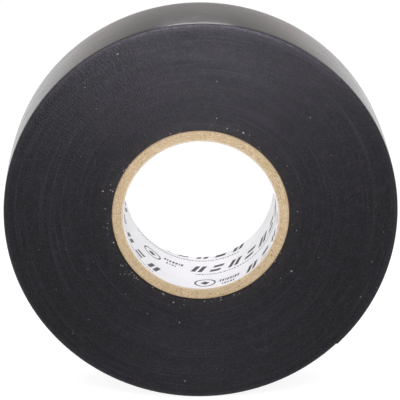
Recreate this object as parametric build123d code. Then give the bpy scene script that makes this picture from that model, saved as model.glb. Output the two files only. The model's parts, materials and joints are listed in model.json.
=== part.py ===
from build123d import *
import math
import os

# A roll of electrical tape, standing on its rim.
#
# Frame: the origin is the centre of the core's bore at mid-width. Y is the roll's axis, with
# the front face at -Y, X points right and Z points up. Millimetres.
#
# The core is a spiral-wound paperboard tube: a white printed liner in the bore and five kraft
# plies around it, each with its own helical butt seam. The tape is one strip of film wound
# clockwise on the core, seen from the front. The adhesive is the thin space between its turns.
# The strip's free end is five short lengths, hinged to each other along their outer skin.

# Driving dimensions

tape_width = 19.05            # 3/4 inch tape
bore_r = 15.875               # core for a 1 1/4 inch spindle
liner_thickness = 0.12
ply_count = 5
ply_thickness = 0.44
glue_line = 0.01              # between plies, and between the core and the tape

seam_lead = 30.0              # how far a ply's seam moves along the axis in one turn
seam_gap = 0.10               # width of the butt seam, around the core
seam_step = 137.5             # each ply's seam is turned by this much from the one inside it
liner_seam_angle = -35.6      # the liner's seam runs over the top of the bore
seam_overrun = 1.0            # the seam's cutter goes past both end faces by this much

film_thickness = 0.18
adhesive_thickness = 0.03
pitch = film_thickness + adhesive_thickness

tail_root = 38330.0           # winding angle where the free end starts, 106 turns and 170 degrees
tail_count = 5
tail_length = 11.0            # winding angle of one length of the tail
tail_joint_gap = 0.03         # winding angle left open between two lengths

# Dimensions that follow

core_r = bore_r + liner_thickness + ply_count * (glue_line + ply_thickness)
centre_offset = pitch / 4
first_turn_r = core_r + glue_line + centre_offset


# Core

def tube(inner_r, outer_r):
    """A tube of the tape's width about the Z axis, centred on the origin."""
    ring = Circle(outer_r) - Circle(inner_r)
    return extrude(Pos(0, 0, -tape_width / 2) * ring, amount=tape_width)


def seam(inner_r, outer_r):
    """A helical sliver as deep as one ply, which leaves the ply's butt seam open."""
    middle_r = (inner_r + outer_r) / 2
    height = tape_width + 2 * seam_overrun
    path = Pos(0, 0, -height / 2) * Helix(pitch=seam_lead, height=height, radius=middle_r)
    start = Plane(origin=path @ 0, x_dir=(1, 0, 0), z_dir=path % 0)
    section = start * Rectangle(2 * (outer_r - inner_r), seam_gap)
    return sweep(section, path=path, is_frenet=True)


def core_ply(inner_r, thickness, seam_angle):
    """One ply of the core, laid along Y, with its seam turned to seam_angle."""
    outer_r = inner_r + thickness
    upright = tube(inner_r, outer_r) - Rot(0, 0, seam_angle) * seam(inner_r, outer_r)
    return Rot(90, 0, 0) * upright


# Tape
#
# The winding angle counts clockwise from the left of the roll, at the core. Each half turn is
# an arc about one of two centres, a quarter pitch to the right and to the left of the axis,
# so the arcs meet smoothly and the strip moves out by one pitch in each turn.

def strip_point(winding_angle, depth):
    """The point at a winding angle, as far out from the strip's inner skin as depth."""
    half_turn = math.floor(winding_angle / 180)
    centre_x = centre_offset if half_turn % 2 == 0 else -centre_offset
    radius = first_turn_r + half_turn * pitch / 2 + depth
    bearing = math.radians(180 - winding_angle)
    return (centre_x + radius * math.cos(bearing), radius * math.sin(bearing))


def strip_skin(start, end, depth):
    """The arcs of one skin of the strip, one for each half turn that it crosses."""
    first_break = math.floor(start / 180) + 1
    last_break = math.ceil(end / 180)
    stops = [start] + [180 * n for n in range(first_break, last_break)] + [end]
    arcs = []
    for low, high in zip(stops, stops[1:]):
        middle = (low + high) / 2
        arcs.append(ThreePointArc(
            strip_point(low, depth), strip_point(middle, depth), arc_end(low, high, depth)))
    return arcs


def arc_end(low, high, depth):
    """The end of the arc that starts at low, on that arc's own centre."""
    half_turn = math.floor(low / 180)
    centre_x = centre_offset if half_turn % 2 == 0 else -centre_offset
    radius = first_turn_r + half_turn * pitch / 2 + depth
    bearing = math.radians(180 - high)
    return (centre_x + radius * math.cos(bearing), radius * math.sin(bearing))


def strip(start, end):
    """The film between two winding angles, as wide as the tape."""
    inner = strip_skin(start, end, 0)
    outer = strip_skin(start, end, film_thickness)
    near_end = Line(inner[0] @ 0, outer[0] @ 0)
    far_end = Line(inner[-1] @ 1, outer[-1] @ 1)
    outline = make_face(inner + outer + [near_end, far_end])
    back = Plane.XZ.offset(-tape_width / 2)
    return extrude(back * outline, amount=tape_width)


def save(node, shape):
    shape.label = node
    export_step(shape, f"parts/{node}.step")


os.makedirs("parts", exist_ok=True)

save("printed_liner", core_ply(bore_r, liner_thickness, liner_seam_angle))

for number in range(1, ply_count + 1):
    inner_r = bore_r + liner_thickness + number * glue_line + (number - 1) * ply_thickness
    save(f"core_ply_{number}", core_ply(inner_r, ply_thickness, number * seam_step))

save("wound_tape", strip(0, tail_root))

for number in range(1, tail_count + 1):
    start = tail_root + (number - 1) * tail_length + tail_joint_gap
    end = tail_root + number * tail_length
    save(f"tape_tail_{number}", strip(start, end))
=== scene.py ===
import json
import math

import bmesh
import bpy
import numpy as np
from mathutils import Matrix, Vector


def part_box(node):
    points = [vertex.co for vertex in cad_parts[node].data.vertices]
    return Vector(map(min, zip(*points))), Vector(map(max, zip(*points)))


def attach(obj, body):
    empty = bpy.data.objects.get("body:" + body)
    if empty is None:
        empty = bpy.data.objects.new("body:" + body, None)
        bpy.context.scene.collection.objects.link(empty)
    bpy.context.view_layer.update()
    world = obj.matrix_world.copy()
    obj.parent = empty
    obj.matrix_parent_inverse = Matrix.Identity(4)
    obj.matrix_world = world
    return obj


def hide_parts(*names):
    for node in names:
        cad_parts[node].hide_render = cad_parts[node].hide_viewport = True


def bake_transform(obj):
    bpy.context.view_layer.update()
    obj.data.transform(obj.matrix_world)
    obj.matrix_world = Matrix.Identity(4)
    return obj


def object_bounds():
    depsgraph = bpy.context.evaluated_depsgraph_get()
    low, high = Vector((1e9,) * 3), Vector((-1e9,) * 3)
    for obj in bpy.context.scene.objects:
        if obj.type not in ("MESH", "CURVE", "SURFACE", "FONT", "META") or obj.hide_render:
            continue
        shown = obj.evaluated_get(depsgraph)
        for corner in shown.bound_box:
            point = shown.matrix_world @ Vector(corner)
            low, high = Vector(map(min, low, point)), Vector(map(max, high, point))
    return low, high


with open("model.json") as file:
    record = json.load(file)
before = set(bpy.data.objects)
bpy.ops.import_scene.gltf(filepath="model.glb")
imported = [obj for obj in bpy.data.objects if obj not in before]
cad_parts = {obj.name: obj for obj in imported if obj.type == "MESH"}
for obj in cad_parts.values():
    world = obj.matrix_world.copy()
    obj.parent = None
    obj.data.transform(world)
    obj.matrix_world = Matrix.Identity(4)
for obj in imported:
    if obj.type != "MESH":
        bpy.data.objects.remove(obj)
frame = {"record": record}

# A roll of electrical tape standing on its rim. Lengths are millimetres until a mesh is made.
#
# The frame is the CAD's: the origin is the centre of the bore, Y is the roll's axis with the
# front face at -Y, X points right and Z points up. Angles run counterclockwise from +X, seen
# from the front. The winding angle of the strip runs clockwise from -X.

cad_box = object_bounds()

MM = 0.001

# Sizes of the CAD model

HALF_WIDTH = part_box("wound_tape")[1].y / MM
BORE_R = 15.875
LINER = 0.12                  # thickness of the liner
PLY = 0.44                    # thickness of a ply
PLIES = 5
GLUE = 0.01                   # between plies, and between the core and the tape
SEAM_LEAD = 30.0              # how far a ply's seam moves along the axis in one turn
SEAM_GAP = 0.10               # width of a seam, around the core
SEAM_STEP = 137.5             # each ply's seam is turned by this much from the one inside it
LINER_SEAM = -35.6            # angle of the liner's seam
SEAM_OVERRUN = 1.0            # the seams' angles are given this far past the back face
FILM = 0.18                   # thickness of the film
PITCH = 0.21                  # from one turn to the next
CORE_R = BORE_R + LINER + PLIES * (GLUE + PLY)
CENTRE_OFFSET = PITCH / 4
FIRST_R = CORE_R + GLUE + CENTRE_OFFSET
ROOT = 38330.0                # winding angle where the free end starts
TAIL_LENGTH = 11.0            # winding angle of one length of the free end
TAILS = 5

# Fineness of the strip's meshes, as winding angles

STEP = 2.5
TURN = round(360 / STEP)      # steps in a turn
LAST = round(ROOT / STEP)     # steps in the whole winding
TAIL_STEP = 0.25


# Smooth noise without a seam, the same on every run

def wave_noise(seed, terms, low, high):
    """A smooth function of one number, between about -1 and 1, from a few sine waves."""
    draw = np.random.default_rng(seed)
    rates = draw.uniform(low, high, terms)
    phases = draw.uniform(0, 2 * math.pi, terms)
    weights = draw.uniform(0.5, 1.0, terms)
    weights = weights / weights.sum()

    def value(x):
        x = np.asarray(x, float)
        return sum(w * np.sin(r * x + p) for w, r, p in zip(weights, rates, phases))
    return value


def ring_noise(seed, terms, low, high):
    """A smooth function of an angle in degrees that closes after a turn."""
    draw = np.random.default_rng(seed)
    rates = draw.integers(low, high, terms)
    phases = draw.uniform(0, 2 * math.pi, terms)
    weights = draw.uniform(0.4, 1.0, terms)
    weights = weights / weights.sum()

    def value(angle):
        a = np.radians(np.asarray(angle, float))
        return sum(w * np.sin(r * a + p) for w, r, p in zip(weights, rates, phases))
    return value


def smooth(x, start, end):
    """Rises from 0 to 1 between start and end."""
    t = np.clip((np.asarray(x, float) - start) / (end - start), 0, 1)
    return t * t * (3 - 2 * t)


# Meshes

SHARP_ANGLE = 40.0            # edges that turn by more than this many degrees stay sharp


def make_piece(name, points, faces, materials, slots):
    """A mesh object from points in millimetres, with its faces turned outward."""
    mesh = bpy.data.meshes.new(name)
    mesh.from_pydata((np.asarray(points, float) * MM).tolist(), [], faces)
    for material in materials:
        mesh.materials.append(material)
    mesh.polygons.foreach_set("material_index", np.asarray(slots, np.int32))
    work = bmesh.new()
    work.from_mesh(mesh)
    bmesh.ops.recalc_face_normals(work, faces=work.faces)
    work.to_mesh(mesh)
    work.free()
    mesh.polygons.foreach_set("use_smooth", np.ones(len(mesh.polygons), bool))
    mesh.set_sharp_from_angle(angle=math.radians(SHARP_ANGLE))
    piece = bpy.data.objects.new(name, mesh)
    bpy.context.scene.collection.objects.link(piece)
    return piece


class Builder:
    """Gathers points and faces of one mesh."""

    def __init__(self):
        self.points = []
        self.count = 0
        self.faces = []
        self.slots = []

    def add(self, points):
        """Adds points and returns their numbers."""
        points = np.asarray(points, float).reshape(-1, 3)
        first = self.count
        self.points.append(points)
        self.count += len(points)
        return np.arange(first, self.count)

    def face(self, corners, slot=0):
        """One face from the numbers of its corners."""
        self.faces.append([int(c) for c in corners])
        self.slots.append(slot)

    def band(self, row_a, row_b, slot=0, turned=False):
        """Quads between two rows of the same number of points, cut along either diagonal."""
        quads = np.stack([row_a[:-1], row_a[1:], row_b[1:], row_b[:-1]], axis=1)
        if turned:
            quads = np.roll(quads, 1, axis=1)
        self.faces.extend(quads.tolist())
        self.slots.extend([slot] * len(quads))

    def piece(self, name, materials):
        """The mesh object of all that was added."""
        return make_piece(name, np.concatenate(self.points), self.faces, materials, self.slots)


# The wound strip

FILM_HALF = HALF_WIDTH - 0.04
EDGE_R = 0.50                 # rounding of the outermost turns' edges
CROWN = 0.20                  # how much lower the outermost turn's edges are than its middle
LEAN = 0.018                  # how much further in the outer side of each turn's edge is
GROOVE = 0.02                 # depth of the groove between two turns
RIPPLE = 0.010                # how far the outer skin's dips go down on average
TUCK = 0.012                  # how far the edge draws in where the strip runs under its own tail
TUCK_TURN = 0.83              # share of a turn, back from the root, where that starts

# Depths through the film, out from its inner skin

INNER_EDGE = 0.04             # inner corner of the cut edge
OUTER_EDGE = 0.15             # outer corner of the cut edge
SHOULDER = 0.165              # start of the outer skin's rounded corner
SKIN = FILM - 0.006           # the outer skin, just inside the CAD's
GROOVE_BOTTOM = 0.205         # between this turn and the next
STICKY_SIDE = -0.02           # the free end's adhesive side

shift_slow = wave_noise(11, 9, 2 * math.pi / 9000, 2 * math.pi / 1500)
shift_fine = wave_noise(12, 9, 2 * math.pi / 1300, 2 * math.pi / 420)


def side_shift(winding):
    """How far along Y the strip wandered while it was wound."""
    return 0.024 * shift_slow(winding) + 0.014 * shift_fine(winding)


def strip_xz(winding, depth):
    """X and Z of the strip at a winding angle, as far out from its inner skin as depth."""
    winding = np.asarray(winding, float)
    half_turn = np.floor(winding / 180)
    centre = np.where(half_turn % 2 == 0, CENTRE_OFFSET, -CENTRE_OFFSET)
    radius = FIRST_R + half_turn * PITCH / 2 + depth
    bearing = np.radians(180 - winding)
    return centre + radius * np.cos(bearing), radius * np.sin(bearing)


def turns_above(winding):
    """Turns of strip over this one. It grows where the strip runs in under its own tail."""
    turns = (ROOT - np.asarray(winding, float)) / 360
    whole = np.floor(np.maximum(turns, 0))
    return whole + smooth(turns - whole, TUCK_TURN, 1.0)


def edge_inset(winding, depth):
    """How far the strip's edge is in from the roll's face, with its lean and the rounding."""
    below = SKIN - depth + PITCH * turns_above(winding)
    out = np.clip(EDGE_R - below, 0, EDGE_R)
    part = (depth - INNER_EDGE) / (OUTER_EDGE - INNER_EDGE)
    lean = LEAN * min(max(part, 0.0), 1.0)
    return lean + EDGE_R - np.sqrt(EDGE_R ** 2 - out ** 2)


def row(winding, depth, y):
    """A row of points along the strip. The edges of the outer turns lie lower than the middle."""
    crown = CROWN * (np.asarray(winding, float) / ROOT) ** 2 * (y / HALF_WIDTH) ** 2
    x, z = strip_xz(winding, depth - crown)
    return np.stack([x, np.broadcast_to(y, x.shape), z], axis=1)


ACROSS = [-0.8, -0.45, 0.0, 0.45, 0.8]     # places across the skin, as shares of half its width
wave_along = [ring_noise(20 + n, 7, 2, 17) for n in range(len(ACROSS))]


def skin_rows(build, winding, tucked):
    """Rows of the strip's outer skin, from the front edge to the back edge."""
    shift = side_shift(winding)
    rows = []
    for side in (-1, 1):
        edge = []
        for depth in (SHOULDER, SKIN):
            inset = edge_inset(winding, depth) + TUCK * tucked
            edge.append(build.add(row(winding, depth, side * (FILM_HALF - inset) + shift)))
        rows.append(edge)
    middle = []
    for place, wave in zip(ACROSS, wave_along):
        dip = RIPPLE * (1 + wave(winding)) * (1 - abs(place) * 0.4)
        middle.append(build.add(row(winding, SKIN - dip, place * FILM_HALF + shift)))
    return rows[0] + middle + rows[1][::-1]


def wound_tape(materials):
    """The whole winding as one closed body, with a groove between turns on both faces."""
    build = Builder()
    number = np.arange(LAST + 1)
    winding = number * STEP
    shift = side_shift(winding)
    inner = number[:TURN + 1] * STEP
    under = winding[:LAST - TURN + 1]
    last = winding[LAST - TURN:]

    face_rows = []
    inner_rows = []
    for side in (-1, 1):
        inset_a = edge_inset(winding, INNER_EDGE)
        inset_b = edge_inset(winding, OUTER_EDGE)
        row_a = build.add(row(winding, INNER_EDGE, side * (FILM_HALF - inset_a) + shift))
        row_b = build.add(row(winding, OUTER_EDGE, side * (FILM_HALF - inset_b) + shift))
        between = (shift[:LAST - TURN + 1] + shift[TURN:]) / 2
        above = (ROOT - under) / 360
        groove = edge_inset(under, GROOVE_BOTTOM) + GROOVE * smooth(above, 1.0, 1.15)
        row_g = build.add(row(under, GROOVE_BOTTOM, side * (FILM_HALF - groove) + between))
        row_i = build.add(row(inner, 0.0, side * (FILM_HALF - 0.035) + shift[:TURN + 1]))
        build.band(row_a, row_b)
        build.band(row_b[:LAST - TURN + 1], row_g)
        build.band(row_g, row_a[TURN:])
        build.band(row_i, row_a[:TURN + 1])
        face_rows.append((row_a, row_b, row_g))
        inner_rows.append(row_i)
    build.band(inner_rows[0], inner_rows[1], 1)

    tucked = smooth((ROOT - last) / 360, TUCK_TURN, 1.0)
    skin = skin_rows(build, last, tucked)
    front, back = face_rows
    build.band(front[1][LAST - TURN:], skin[0], 1)
    for low, high in zip(skin, skin[1:]):
        build.band(low, high, 1)
    build.band(skin[-1], back[1][LAST - TURN:], 1)

    start = [inner_rows[0][0], front[0][0], front[1][0], front[2][0], front[0][TURN],
             inner_rows[0][-1], inner_rows[1][-1], back[0][TURN], back[2][0], back[1][0],
             back[0][0], inner_rows[1][0]]
    build.face(start)
    end = [front[1][LAST - TURN]] + [line[0] for line in skin] + [back[1][LAST - TURN]]
    end += [back[2][-1], back[0][LAST], back[1][LAST]]
    end += [line[-1] for line in skin[::-1]] + [front[1][LAST], front[0][LAST], front[2][-1]]
    build.face(end)
    return build.piece("wound_tape_roll", materials)


# The free end of the strip


def tail_strip(name, start, end, materials):
    """A closed length of the strip: outer skin, two rounded edges and the adhesive side."""
    build = Builder()
    winding = start + np.arange(round((end - start) / TAIL_STEP) + 1) * TAIL_STEP
    shift = side_shift(winding)
    skin = skin_rows(build, winding, np.zeros(len(winding)))
    edges = []
    for side in (-1, 1):
        made = []
        for depth, extra in ((OUTER_EDGE, 0.0), (INNER_EDGE, 0.006), (STICKY_SIDE, 0.03)):
            inset = extra + edge_inset(winding, max(depth, INNER_EDGE))
            made.append(build.add(row(winding, depth, side * (FILM_HALF - inset) + shift)))
        edges.append(made)
    glued = [build.add(row(winding, STICKY_SIDE, place * FILM_HALF + shift)) for place in ACROSS]
    loop = skin + edges[1] + glued[::-1] + edges[0][::-1]
    slots = [1] * len(skin) + [0] * 2 + [2] * (len(glued) + 1) + [0] * 2 + [1]
    for n, slot in enumerate(slots):
        build.band(loop[n], loop[(n + 1) % len(loop)], slot)
    build.face([line[0] for line in loop])
    build.face([line[-1] for line in loop])
    return build.piece(name, materials)


# The core

CORNER_LIMIT = 0.2            # a ply's corners are rounded no more than on a ply this thick


def seam_angle_at(y, seam_angle):
    """Where a ply's seam is at y, counterclockwise from +X."""
    return seam_angle + 360 * (HALF_WIDTH + SEAM_OVERRUN - y) / SEAM_LEAD


def ply_mesh(name, inner_r, thickness, seam_angle, columns, fineness, materials, fray, seed):
    """One ply as a closed tube with an open helical seam, and soft cut ends."""
    outer_r = inner_r + thickness
    half_gap = math.degrees(SEAM_GAP / 2 / (inner_r + thickness / 2))
    along = np.linspace(0, 1, columns + 1)
    spans = round(columns * 2 * HALF_WIDTH / SEAM_LEAD * fineness)
    levels = np.linspace(-1, 1, spans + 1)
    coarse = ring_noise(seed, 8, 3, 23)
    fine = ring_noise(seed + 1, 12, 23, 70)
    build = Builder()

    def angles(y):
        return seam_angle_at(y, seam_angle) + half_gap + along * (360 - 2 * half_gap)

    def wall(radius, y, inset=0.0):
        a = np.radians(angles(y))
        side = math.copysign(1, y)
        return build.add(np.stack([radius * np.cos(a), y - side * inset + 0 * a,
                                   radius * np.sin(a)], axis=1))

    def worn(y, part):
        """How far the cut end is worn down at a share of the ply's thickness."""
        a = angles(y) + 40 * part
        wear = 0.5 + 0.5 * (0.55 * coarse(a) + 0.45 * fine(a))
        return fray * wear * wear

    shares = [0.0, 0.1, 0.38, 0.66, 0.9, 1.0]         # places through the ply's thickness
    corner = [0.3, 0.05, 0.0, 0.0, 0.05, 0.3]         # how much the end is rounded off there
    inner = [wall(inner_r, y * HALF_WIDTH) for y in levels[1:-1]]
    outer = [wall(outer_r, y * HALF_WIDTH) for y in levels[1:-1]]
    ends = []
    for side in (-1, 1):
        y = side * HALF_WIDTH
        lines = []
        for share, drop in zip(shares, corner):
            inset = worn(y, share) + drop * min(thickness, CORNER_LIMIT)
            lines.append(wall(inner_r + share * thickness, y, inset))
        ends.append(lines)
    loop = ends[0][::-1] + inner + ends[1] + outer[::-1]
    turned = len(loop) - len(outer)
    for n in range(len(loop)):
        build.band(loop[n], loop[(n + 1) % len(loop)], turned=n >= turned)
    rungs = [(ends[0][0], ends[0][-1])] + list(zip(inner, outer)) + [(ends[1][0], ends[1][-1])]
    for column in (0, -1):
        for (low_in, low_out), (high_in, high_out) in zip(rungs, rungs[1:]):
            build.face([low_in[column], high_in[column], high_out[column], low_out[column]])
        for lines in ends:
            build.face([line[column] for line in lines])
    return build.piece(name, materials)


# Torn paper at the liner's front edge: angle, width in degrees and height of each burr

BURRS = [(44, 5.0, 0.42), (51, 2.2, 0.20), (18, 3.6, 0.34), (13.5, 1.8, 0.18),
         (152, 3.0, 0.22), (171, 2.0, 0.16), (338, 2.4, 0.20), (246, 2.6, 0.16)]
BURR_COLUMNS = 9
BURR_ROOT = 0.05              # how deep in the liner a burr is rooted


def burr_mesh(name, materials):
    """Burrs of torn paper that stand in from the liner's front edge."""
    build = Builder()
    for number, (angle, width, height) in enumerate(BURRS):
        share = np.linspace(0, 1, BURR_COLUMNS)
        ragged = ring_noise(60 + number, 5, 40, 160)
        a = np.radians(angle + width * (share - 0.5))
        tooth = height * np.sin(math.pi * share) ** 0.7 * (0.75 + 0.35 * ragged(np.degrees(a)))
        rows = []
        for inset, reach, base in ((0.03, 1.0, 0.01), (0.075, 0.92, 0.0), (0.045, 0.0, BURR_ROOT)):
            radius = BORE_R + base - tooth * reach
            y = inset - HALF_WIDTH + 0.25 * tooth * reach
            rows.append(build.add(np.stack([radius * np.cos(a), y, radius * np.sin(a)], axis=1)))
        radius = BORE_R + BURR_ROOT
        y = np.full(BURR_COLUMNS, 0.12 - HALF_WIDTH)
        low = build.add(np.stack([radius * np.cos(a), y, radius * np.sin(a)], axis=1))
        loop = [rows[2], rows[0], rows[1], low]
        for n in range(len(loop)):
            build.band(loop[n], loop[(n + 1) % len(loop)])
        build.face([line[0] for line in loop])
        build.face([line[-1] for line in loop])
    return build.piece(name, materials)


# The print on the liner: generic bars, rings and dashes

INK_LIFT = 0.004              # from the liner to the ink's underside
INK = 0.010                   # thickness of the ink
PRINT_LIMIT = HALF_WIDTH - 0.12
PRINT_SLOPE = -0.03           # mm along Y for each degree round the bore
PRINT_ROWS = ((10.1, (212, 379)), (1.8, (265, 98)), (-7.0, (308, 141)))   # Y and starting angles
BAR_SLANT = 1.4               # degrees that a bar leans for each mm along Y
BAR_TOP = 1.65                # half the height of a tall bar
BAR_GAP = 0.55                # half the gap between two bars, one above the other
MARK_OFFSET = -34.5           # from a row's start to the ring before it
SMALL_PRINT_OFFSET = -33.0    # from a row's start to where the small print is measured from


def add_patch(build, grid):
    """A thin closed patch on the bore from a grid of (degrees, y), curved with the wall."""
    shells = []
    for lift in (INK_LIFT, INK_LIFT + INK):
        lines = []
        for line in grid:
            a = np.radians([point[0] for point in line])
            y = np.array([point[1] for point in line])
            radius = BORE_R - lift
            lines.append(build.add(np.stack([radius * np.cos(a), y, radius * np.sin(a)], axis=1)))
        shells.append(lines)
    for lines in shells:
        for low, high in zip(lines, lines[1:]):
            build.band(low, high)
    for row_number in (0, -1):
        build.band(shells[0][row_number], shells[1][row_number])
    for end in (0, -1):
        first = np.array([line[end] for line in shells[0]])
        second = np.array([line[end] for line in shells[1]])
        build.band(first, second)


def add_bar(build, angle, width, low, high, slant, row_y):
    """A slanted bar from low to high, cut off where the liner ends."""
    row_y += PRINT_SLOPE * (angle - 270)
    bottom = max(row_y + low, -PRINT_LIMIT)
    top = min(row_y + high, PRINT_LIMIT)
    if top - bottom < 0.15:
        return
    columns = max(2, math.ceil(width / 1.2) + 1)
    grid = []
    for y in np.linspace(bottom, top, 4):
        shift = slant * (y - row_y)
        grid.append([(angle + shift + width * n / (columns - 1), y) for n in range(columns)])
    add_patch(build, grid)


def add_ring(build, angle, y, half_angle, half_height, line):
    """An oval ring."""
    turns = np.linspace(0, 2 * math.pi, 49)
    ratio = half_height / half_angle
    grid = []
    for size in (0.0, 1.0):
        grid.append([(angle + (half_angle - size * line / ratio) * math.cos(t),
                      y + (half_height - size * line) * math.sin(t)) for t in turns[:-1]])
    shells = []
    for lift in (INK_LIFT, INK_LIFT + INK):
        for outline in grid:
            a = np.radians([point[0] for point in outline])
            radius = BORE_R - lift
            points = np.stack([radius * np.cos(a), [point[1] for point in outline],
                               radius * np.sin(a)], axis=1)
            numbers = build.add(points)
            shells.append(np.append(numbers, numbers[0]))
    for first, second in ((0, 1), (1, 3), (3, 2), (2, 0)):
        build.band(shells[first], shells[second])


def pair(offset, width, gap):
    """Two slanted bars side by side."""
    return [(offset, width, -BAR_TOP, BAR_TOP), (offset + width + gap, width, -BAR_TOP, BAR_TOP)]


def stack(offset, width):
    """Two short bars, one above the other."""
    return [(offset, width, -BAR_TOP, -BAR_GAP), (offset, width, BAR_GAP, BAR_TOP)]


# A row's bars: offset and width in degrees, and the low and high edge in mm from its middle

PATTERN = (pair(0, 3.4, 1.8) + stack(14.5, 8) + pair(29, 3.3, 1.8) + stack(43.5, 8)
           + pair(58, 3.3, 1.8) + stack(72.5, 8) + pair(87, 3.3, 1.8))


def add_diamond(build, angle, y, half_angle, half_height):
    """A solid diamond."""
    grid = []
    for t in np.linspace(-0.98, 0.98, 9):
        reach = half_angle * (1 - abs(t))
        grid.append([(angle + reach * side, y + half_height * t) for side in (-1, 0, 1)])
    add_patch(build, grid)


def add_dashes(build, draw, place, end, longest, gaps, edges, slant, row_y):
    """A line of dashes of uneven width from place to end, between two edges along Y."""
    while place < end:
        width = draw.uniform(0.8, longest)
        add_bar(build, place, width, *edges, slant, row_y)
        place += width + draw.uniform(*gaps)


def print_marks(materials):
    """Three rows of print, each repeated twice round the bore."""
    bars, marks, dashes = Builder(), Builder(), Builder()
    for row_y, starts in PRINT_ROWS:
        for start in starts:
            for offset, width, low, high in PATTERN:
                add_bar(bars, start + offset, width, low, high, BAR_SLANT, row_y)
            draw = np.random.default_rng(start)
            add_dashes(dashes, draw, start + 3.0, start + 92, 2.2, (0.5, 0.9), (-3.25, -2.92), 0.4,
                       row_y)
            small = start + SMALL_PRINT_OFFSET
            add_dashes(dashes, draw, small + 9, small + 24, 1.8, (0.7, 1.1), (0.35, 1.45), 0.8, row_y)
            add_dashes(dashes, draw, small + 12, small + 21, 1.8, (0.7, 1.1), (-1.25, -0.55), 0.8,
                       row_y)
            if abs(row_y) < PRINT_LIMIT - 1.8:
                add_ring(marks, start + MARK_OFFSET, row_y + 0.4, 8.2, 2.05, 0.32)
                add_diamond(marks, start + MARK_OFFSET, row_y + 0.4, 3.6, 0.95)
    return (bars.piece("print_bars", materials), marks.piece("print_rings", materials),
            dashes.piece("print_dashes", materials))


# Materials

class Nodes:
    """A material's node tree, with short ways to add and join nodes."""

    def __init__(self, name):
        self.material = bpy.data.materials.new(name)
        self.material.use_nodes = True
        self.tree = self.material.node_tree
        self.shader = self.tree.nodes["Principled BSDF"]
        place = self.add("ShaderNodeTexCoord")
        self.place = place.outputs["Object"]
        split = self.add("ShaderNodeSeparateXYZ")
        self.join(self.place, split.inputs[0])
        self.x, self.y, self.z = split.outputs
        self.radius = self.math("SQRT", self.math("ADD", self.math("MULTIPLY", self.x, self.x),
                                                  self.math("MULTIPLY", self.z, self.z)))

    def add(self, kind, **settings):
        node = self.tree.nodes.new(kind)
        for key, value in settings.items():
            setattr(node, key, value)
        return node

    def join(self, source, target):
        self.tree.links.new(source, target)

    def set(self, **values):
        """Sets the shader's own sockets, which are the same all over the surface."""
        for key, value in values.items():
            self.shader.inputs[key.replace("_", " ")].default_value = value

    def math(self, operation, *values):
        node = self.add("ShaderNodeMath", operation=operation)
        for socket, value in zip(node.inputs, values):
            if isinstance(value, (int, float)):
                socket.default_value = value
            else:
                self.join(value, socket)
        return node.outputs[0]

    def vector(self, x, y, z):
        node = self.add("ShaderNodeCombineXYZ")
        for socket, value in zip(node.inputs, (x, y, z)):
            if isinstance(value, (int, float)):
                socket.default_value = value
            else:
                self.join(value, socket)
        return node.outputs[0]

    def scaled(self, x, y, z):
        """The point with each coordinate scaled by itself."""
        return self.vector(self.math("MULTIPLY", self.x, x), self.math("MULTIPLY", self.y, y),
                           self.math("MULTIPLY", self.z, z))

    def ringed(self, radial, across):
        """The point with its radius scaled apart from its place, for noise drawn out in rings."""
        return self.vector(self.math("MULTIPLY", self.radius, radial),
                           self.math("MULTIPLY", self.x, across),
                           self.math("MULTIPLY", self.z, across))

    def flat(self):
        """The point's place on its face of the roll, different on the two faces."""
        return self.vector(self.math("ADD", self.x, self.math("SIGN", self.y)), self.z, 0.0)

    def noise(self, where, scale=1.0, detail=2.0, roughness=0.5):
        node = self.add("ShaderNodeTexNoise")
        self.join(where, node.inputs["Vector"])
        node.inputs["Scale"].default_value = scale
        node.inputs["Detail"].default_value = detail
        node.inputs["Roughness"].default_value = roughness
        return node.outputs["Fac"]

    def cells(self, where, scale):
        """Distance to the nearest cell centre in the plane, and two random numbers of that cell."""
        node = self.add("ShaderNodeTexVoronoi", voronoi_dimensions="2D")
        self.join(where, node.inputs["Vector"])
        node.inputs["Scale"].default_value = scale
        split = self.add("ShaderNodeSeparateColor")
        self.join(node.outputs["Color"], split.inputs[0])
        return node.outputs["Distance"], split.outputs[0], split.outputs[1]

    def span(self, value, low, high, to_low=0.0, to_high=1.0):
        """Maps low..high to to_low..to_high, and clamps."""
        node = self.add("ShaderNodeMapRange")
        self.join(value, node.inputs["Value"])
        for key, number in (("From Min", low), ("From Max", high), ("To Min", to_low),
                            ("To Max", to_high)):
            node.inputs[key].default_value = number
        return node.outputs["Result"]

    def mix(self, share, first, second):
        """A colour between two, each a colour or a socket."""
        node = self.add("ShaderNodeMix", data_type="RGBA")
        if isinstance(share, (int, float)):
            node.inputs["Factor"].default_value = share
        else:
            self.join(share, node.inputs["Factor"])
        for socket, value in ((node.inputs[6], first), (node.inputs[7], second)):
            if isinstance(value, tuple):
                socket.default_value = (*value, 1.0)
            else:
                self.join(value, socket)
        return node.outputs[2]

    def bump(self, height, distance, strength=1.0, under=None):
        node = self.add("ShaderNodeBump")
        node.inputs["Strength"].default_value = strength
        node.inputs["Distance"].default_value = distance
        self.join(height, node.inputs["Height"])
        if under is not None:
            self.join(under, node.inputs["Normal"])
        return node.outputs["Normal"]

    def finish(self, color, roughness=None, normal=None):
        self.join(color, self.shader.inputs["Base Color"])
        if roughness is not None:
            self.join(roughness, self.shader.inputs["Roughness"])
        if normal is not None:
            self.join(normal, self.shader.inputs["Normal"])
        return self.material


def past_core(n, low, high, to_low, to_high):
    """Spans the distance from the core's rim, given in millimetres."""
    return n.span(n.radius, (CORE_R + low) * MM, (CORE_R + high) * MM, to_low, to_high)


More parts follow.
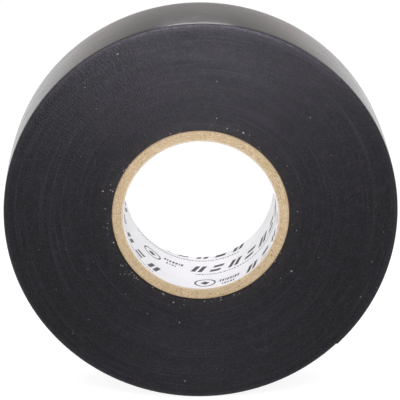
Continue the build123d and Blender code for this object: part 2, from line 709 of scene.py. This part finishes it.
def cut_edge_color(n, rings):
    """Near black, with fine rings, mottling, grit, painted glints, a haze of dust by the core, and a
    paler outer rim that is a painted highlight.
    """
    fine = n.noise(n.ringed(4200.0, 90.0), 1.0, 2.0, 0.6)
    tone = n.math("ADD", n.math("MULTIPLY", fine, 0.5), n.math("MULTIPLY", rings, 0.5))
    color = n.mix(n.span(tone, 0.35, 0.65), (0.0008, 0.0007, 0.0010), (0.0058, 0.0052, 0.0066))
    mottle = n.noise(n.place, 260.0, 3.0, 0.6)
    color = n.mix(n.span(mottle, 0.45, 0.75, 0.0, 0.20), color, (0.0180, 0.0160, 0.0170))
    lines = n.noise(n.ringed(2300.0, 45.0), 1.0, 1.0, 0.5)
    color = n.mix(n.span(lines, 0.58, 0.72, 0.0, 0.60), color, (0.0240, 0.0220, 0.0280))
    grit = n.noise(n.place, 3600.0, 1.0, 0.5)
    color = n.mix(n.span(grit, 0.52, 0.74, 0.0, 0.80), color, (0.0230, 0.0215, 0.0270))
    patches = n.noise(n.place, 620.0, 3.0, 0.65)
    color = n.mix(n.span(patches, 0.50, 0.72, 0.0, 0.50), color, (0.0210, 0.0185, 0.0275))
    # Painted glints: sparse pale violet flecks in the colour that stand in for sparkle of the sheen.
    painted_glints = n.noise(n.place, 4300.0, 0.0, 0.5)
    color = n.mix(n.span(painted_glints, 0.67, 0.77, 0.0, 0.40), color, (0.0620, 0.0570, 0.0780))
    haze = n.math("MULTIPLY", past_core(n, 0.15, 2.95, 0.55, 0.0),
                  n.span(n.noise(n.place, 700.0, 3.0, 0.6), 0.35, 0.70, 0.25, 1.0))
    color = n.mix(haze, color, (0.0340, 0.0300, 0.0260))
    # Painted highlight: the outer rim of the face is lightened where the rounded edges of the outer
    # turns catch the light.
    painted_rim_highlight = n.math("MULTIPLY", past_core(n, 20.85, 22.05, 0.0, 0.40),
                 n.span(n.noise(n.place, 900.0, 3.0, 0.6), 0.35, 0.65, 0.3, 1.0))
    return n.mix(painted_rim_highlight, color, (0.0300, 0.0270, 0.0360))


def with_specks(n, color):
    """Single pale specks of paper: many by the core, in drifts, and few and fainter further out."""
    near, pick, spread = n.cells(n.flat(), 900.0)
    drifts = n.span(n.noise(n.scaled(-120.0, 120.0, -120.0), 1.0, 2.0), 0.40, 0.65)
    bare = n.math("SUBTRACT", past_core(n, -0.05, 3.25, 0.90, 0.985),
                  n.math("MULTIPLY", drifts, past_core(n, -0.05, 4.25, 0.35, 0.005)))
    size = n.math("ADD", n.math("MULTIPLY", n.math("POWER", spread, 3.0), 0.13), 0.045)
    speck = n.math("MULTIPLY", n.math("GREATER_THAN", pick, bare), n.math("LESS_THAN", near, size))
    share = n.math("MULTIPLY", speck, past_core(n, 1.25, 7.75, 0.85, 0.50))
    return n.mix(share, color, (0.42, 0.40, 0.37))


def with_crumbs(n, color):
    """Clusters of finer dust by the core, mostly at the lower left of the front face."""
    low_left = n.math("SUBTRACT", n.math("MULTIPLY", n.x, -0.8), n.math("MULTIPLY", n.z, 0.6))
    chance = n.math("MULTIPLY", n.span(n.noise(n.place, 420.0, 2.0), 0.54, 0.68),
                    n.math("MULTIPLY", past_core(n, 0.15, 1.95, 0.60, 0.0),
                           n.span(low_left, -0.005, 0.015, 0.05, 1.0)))
    near, pick, _ = n.cells(n.flat(), 2600.0)
    crumb = n.math("MULTIPLY", n.math("LESS_THAN", pick, chance), n.math("LESS_THAN", near, 0.34))
    return n.mix(n.math("MULTIPLY", crumb, 0.65), color, (0.36, 0.34, 0.31))


def cut_edge_material():
    """The roll's faces: the edges of the turns, with a sheen along the rings, glossier at the rim."""
    n = Nodes("tape_cut_edges")
    rings = n.noise(n.ringed(900.0, 40.0), 1.0, 2.0, 0.5)
    color = with_crumbs(n, with_specks(n, cut_edge_color(n, rings)))
    rough = n.math("MULTIPLY", n.span(rings, 0.35, 0.65, 0.72, 0.84),
                   past_core(n, 21.15, 22.05, 1.0, 0.62))
    streaks = n.noise(n.vector(n.math("MULTIPLY", n.math("DIVIDE", n.x, n.radius), 140.0),
                               n.math("MULTIPLY", n.math("DIVIDE", n.z, n.radius), 140.0),
                               n.math("MULTIPLY", n.radius, 600.0)), 1.0, 2.0, 0.5)
    pores = n.noise(n.place, 2600.0, 2.0, 0.6)
    normal = n.bump(pores, 0.00018, 1.0, n.bump(streaks, 0.00013, 1.0))
    tangent = n.add("ShaderNodeTangent", direction_type="RADIAL", axis="Y")
    n.join(tangent.outputs[0], n.shader.inputs["Tangent"])
    n.set(Anisotropic=0.42, Anisotropic_Rotation=0.25, Specular_IOR_Level=0.31)
    return n.finish(color, rough, normal)


def film_material():
    """The outer skin of the film: smooth black vinyl with a soft gloss."""
    n = Nodes("vinyl_film_back")
    streaks = n.noise(n.scaled(120.0, 1500.0, 120.0), 1.0, 2.0, 0.5)
    patches = n.noise(n.place, 220.0, 3.0, 0.55)
    color = n.mix(n.span(patches, 0.35, 0.7), (0.0085, 0.0078, 0.0092), (0.0135, 0.0125, 0.0145))
    rough = n.math("ADD", n.span(patches, 0.3, 0.7, 0.13, 0.18),
                   n.span(streaks, 0.3, 0.7, 0.0, 0.05))
    peel = n.noise(n.place, 1600.0, 2.0, 0.5)
    normal = n.bump(peel, 0.00001, 0.5, n.bump(streaks, 0.00002, 0.5))
    n.set(Specular_IOR_Level=0.35, IOR=1.5)
    return n.finish(color, rough, normal)


def adhesive_material():
    """The sticky side of the film: darker, glossier and finely dimpled."""
    n = Nodes("adhesive_side")
    drift = n.noise(n.scaled(400.0, 160.0, 400.0), 1.0, 3.0, 0.6)
    dimples = n.noise(n.place, 3000.0, 2.0, 0.5)
    color = n.mix(n.span(drift, 0.35, 0.7), (0.0075, 0.0068, 0.0066), (0.0145, 0.0130, 0.0120))
    rough = n.span(drift, 0.3, 0.7, 0.14, 0.30)
    n.set(Specular_IOR_Level=0.5, IOR=1.48)
    return n.finish(color, rough, n.bump(dimples, 0.00002, 0.6))


def kraft_material():
    """Cut paperboard: fibres, flecks, thin dark glue lines, and a pale inner and dark outer rim."""
    n = Nodes("kraft_board_cut")
    fibres = n.noise(n.ringed(5600.0, 3900.0), 1.0, 3.0, 0.7)
    clumps = n.noise(n.place, 2600.0, 3.0, 0.65)
    patches = n.noise(n.place, 260.0, 2.0, 0.5)
    color = n.mix(n.span(fibres, 0.36, 0.64), (0.350, 0.250, 0.120), (0.670, 0.530, 0.335))
    color = n.mix(n.span(clumps, 0.48, 0.68, 0.0, 0.60), color, (0.735, 0.610, 0.425))
    color = n.mix(n.span(patches, 0.45, 0.75, 0.0, 0.25), color, (0.400, 0.300, 0.150))
    near, pick, _ = n.cells(n.flat(), 1500.0)
    fleck = n.math("MULTIPLY", n.math("GREATER_THAN", pick, 0.95), n.math("LESS_THAN", near, 0.30))
    color = n.mix(n.math("MULTIPLY", fleck, 0.5), color, (0.160, 0.100, 0.050))
    wall = n.math("SUBTRACT", n.radius, (BORE_R + LINER) * MM)
    through = n.math("FRACT", n.math("DIVIDE", wall, (PLY + GLUE) * MM))
    line = n.math("MAXIMUM", n.span(through, 0.0, 0.14, 1.0, 0.0), n.span(through, 0.86, 1.0))
    broken = n.span(n.noise(n.place, 500.0, 2.0), 0.35, 0.65, 0.05, 0.40)
    color = n.mix(n.math("MULTIPLY", line, broken), color, (0.230, 0.150, 0.080))
    color = n.mix(past_core(n, -2.35, -1.75, 0.55, 0.0), color, (0.760, 0.700, 0.600))
    color = n.mix(past_core(n, -0.40, 0.0, 0.0, 0.65), color, (0.180, 0.120, 0.070))
    height = n.math("ADD", n.math("MULTIPLY", fibres, 0.6), n.math("MULTIPLY", clumps, 0.4))
    n.set(Roughness=0.85, Specular_IOR_Level=0.25)
    return n.finish(color, None, n.bump(height, 0.00008, 0.8))


def liner_material():
    """White machine-finished paper, a little uneven."""
    n = Nodes("printed_liner_paper")
    fibres = n.noise(n.place, 1400.0, 4.0, 0.6)
    clouds = n.noise(n.place, 180.0, 2.0, 0.5)
    color = n.mix(n.span(clouds, 0.3, 0.7), (0.845, 0.850, 0.850), (0.890, 0.893, 0.890))
    color = n.mix(n.span(fibres, 0.5, 0.8, 0.0, 0.35), color, (0.790, 0.785, 0.780))
    n.set(Roughness=0.55, Specular_IOR_Level=0.35)
    return n.finish(color, None, n.bump(fibres, 0.00003, 0.5))


def ink_material():
    """Black print, worn unevenly on the paper's grain."""
    n = Nodes("print_ink")
    grain = n.noise(n.place, 2600.0, 3.0, 0.6)
    color = n.mix(n.span(grain, 0.45, 0.75), (0.030, 0.029, 0.033), (0.110, 0.108, 0.115))
    n.set(Roughness=0.5, Specular_IOR_Level=0.4)
    return n.finish(color)


def floor_material():
    """A plain pale floor that glows enough to render white."""
    n = Nodes("studio_floor")
    grain = n.noise(n.place, 30.0, 2.0)
    color = n.mix(n.span(grain, 0.3, 0.7), (0.290, 0.290, 0.290), (0.300, 0.300, 0.300))
    n.set(Roughness=0.9, Specular_IOR_Level=0.1, Emission_Color=(1.0, 1.0, 1.0, 1.0),
          Emission_Strength=0.90)
    return n.finish(color)


# The pieces

cut_edges = cut_edge_material()
film = film_material()
adhesive = adhesive_material()
kraft = kraft_material()
liner_paper = liner_material()
ink = ink_material()

roll = wound_tape([cut_edges, film])
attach(roll, "roll")
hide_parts("wound_tape")

for number in range(1, PLIES + 1):
    inner_r = BORE_R + LINER + number * GLUE + (number - 1) * PLY
    ply = ply_mesh(f"kraft_ply_{number}", inner_r, PLY, number * SEAM_STEP, 144, 0.5, [kraft],
                   0.09, 30 + 2 * number)
    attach(ply, "roll")
    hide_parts(f"core_ply_{number}")

liner = ply_mesh("liner_paper", BORE_R, LINER, LINER_SEAM, 180, 1.0, [liner_paper], 0.12, 50)
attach(liner, "roll")
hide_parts("printed_liner")

burrs = burr_mesh("liner_burrs", [liner_paper])
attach(burrs, "roll")

for marks in print_marks([ink]):
    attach(marks, "roll")

joints = {joint["name"]: joint for joint in frame["record"]["behaviour"]["joints"]}
tail_joints = ["tail_peel"] + [f"tail_flex_{number}" for number in range(1, TAILS)]
for number, joint_name in enumerate(tail_joints):
    joint = joints[joint_name]
    start = ROOT + TAIL_LENGTH * max(number - 0.5, 0)
    end = ROOT + TAIL_LENGTH * (number + 0.5 if number < TAILS - 1 else TAILS)
    piece = tail_strip(f"tape_end_{number + 1}", start, end, [cut_edges, film, adhesive])
    pivot = Vector(joint["pos_m"])
    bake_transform(piece)
    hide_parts(f"tape_tail_{number + 1}")


# Floor, light and camera, in metres

FLOOR_REACH = 6.0

floor_mesh = bpy.data.meshes.new("studio_floor")
corners = [(-1, -1), (1, -1), (1, 1), (-1, 1)]
floor_mesh.from_pydata([(x * FLOOR_REACH, y * FLOOR_REACH, cad_box[0].z) for x, y in corners], [],
                       [(0, 1, 2, 3)])
floor_mesh.materials.append(floor_material())
floor = bpy.data.objects.new("studio_floor", floor_mesh)
bpy.context.scene.collection.objects.link(floor)

world = bpy.data.worlds.new("studio")
world.use_nodes = True
sky = world.node_tree
sky.nodes["Background"].inputs["Color"].default_value = (1.0, 0.945, 0.940, 1.0)
toward = sky.nodes.new("ShaderNodeTexCoord")
parts = sky.nodes.new("ShaderNodeSeparateXYZ")
sky.links.new(toward.outputs["Generated"], parts.inputs[0])


def sky_span(value, low, high, to_low, to_high):
    node = sky.nodes.new("ShaderNodeMapRange")
    node.interpolation_type = "SMOOTHSTEP"
    sky.links.new(value, node.inputs["Value"])
    for key, number in (("From Min", low), ("From Max", high), ("To Min", to_low),
                        ("To Max", to_high)):
        node.inputs[key].default_value = number
    return node.outputs["Result"]


def sky_math(operation, *values):
    node = sky.nodes.new("ShaderNodeMath")
    node.operation = operation
    for socket, value in zip(node.inputs, values):
        if isinstance(value, (int, float)):
            socket.default_value = value
        else:
            sky.links.new(value, socket)
    return node.outputs[0]


# The sky is brighter behind the roll than in front, and brightest at the horizon there

behind = sky_span(parts.outputs[1], -0.35, 0.35, 0.0, 1.0)
horizon = sky_span(parts.outputs[2], 0.0, 0.33, 0.50, 0.0)
strength = sky_math("ADD", sky_math("MULTIPLY", behind, sky_math("ADD", horizon, 0.39)), 0.14)
sky.links.new(strength, sky.nodes["Background"].inputs["Strength"])
bpy.context.scene.world = world


def softbox(name, place, target, width, height, radiance, color, spread=180.0, diffuse=True):
    """A rectangular soft light that the camera doesn't see; without diffuse it only adds gloss."""
    light = bpy.data.lights.new(name, "AREA")
    light.shape = "RECTANGLE"
    light.size = width
    light.size_y = height
    light.energy = radiance * math.pi * width * height
    light.color = color
    light.spread = math.radians(spread)
    lamp = bpy.data.objects.new(name, light)
    lamp.location = place
    lamp.visible_camera = False
    lamp.visible_diffuse = diffuse
    lamp.rotation_mode = "QUATERNION"
    lamp.rotation_quaternion = (Vector(target) - Vector(place)).to_track_quat("-Z", "Y")
    bpy.context.scene.collection.objects.link(lamp)


softbox("key", (0.0, -0.125, 0.105), (0.0, -0.010, 0.010), 0.20, 0.065, 6.2, (0.93, 0.91, 1.0))
softbox("top_sheen", (0.0, -0.050, 0.080), (0.0, -0.0095, 0.036), 0.10, 0.02, 6.5,
        (0.90, 0.87, 1.0), spread=50.0, diffuse=False)
softbox("low_sheen", (0.0, -0.060, -0.034), (0.0, -0.0095, -0.030), 0.03, 0.012, 1.5,
        (0.86, 0.82, 1.0), spread=50.0, diffuse=False)
softbox("rear_fill", (0.0, 0.130, 0.130), (0.0, 0.0, -0.005), 0.06, 0.06, 5.5, (1.0, 1.0, 1.0))

bpy.context.scene.view_settings.view_transform = "Standard"

# The camera is fitted to the circles that the photo shows

camera_data = bpy.data.cameras.new("camera")
camera_data.sensor_width = 36.0
camera_data.lens = 203.7
camera_data.clip_start = 0.02
camera_data.clip_end = 30.0
camera = bpy.data.objects.new("camera", camera_data)
camera.location = (-0.00790, -0.44990, 0.15002)
camera.rotation_euler = (math.radians(90 - 18.407), 0.0, math.radians(-1.01))
bpy.context.scene.collection.objects.link(camera)
bpy.context.scene.camera = camera

bpy.context.view_layer.update()
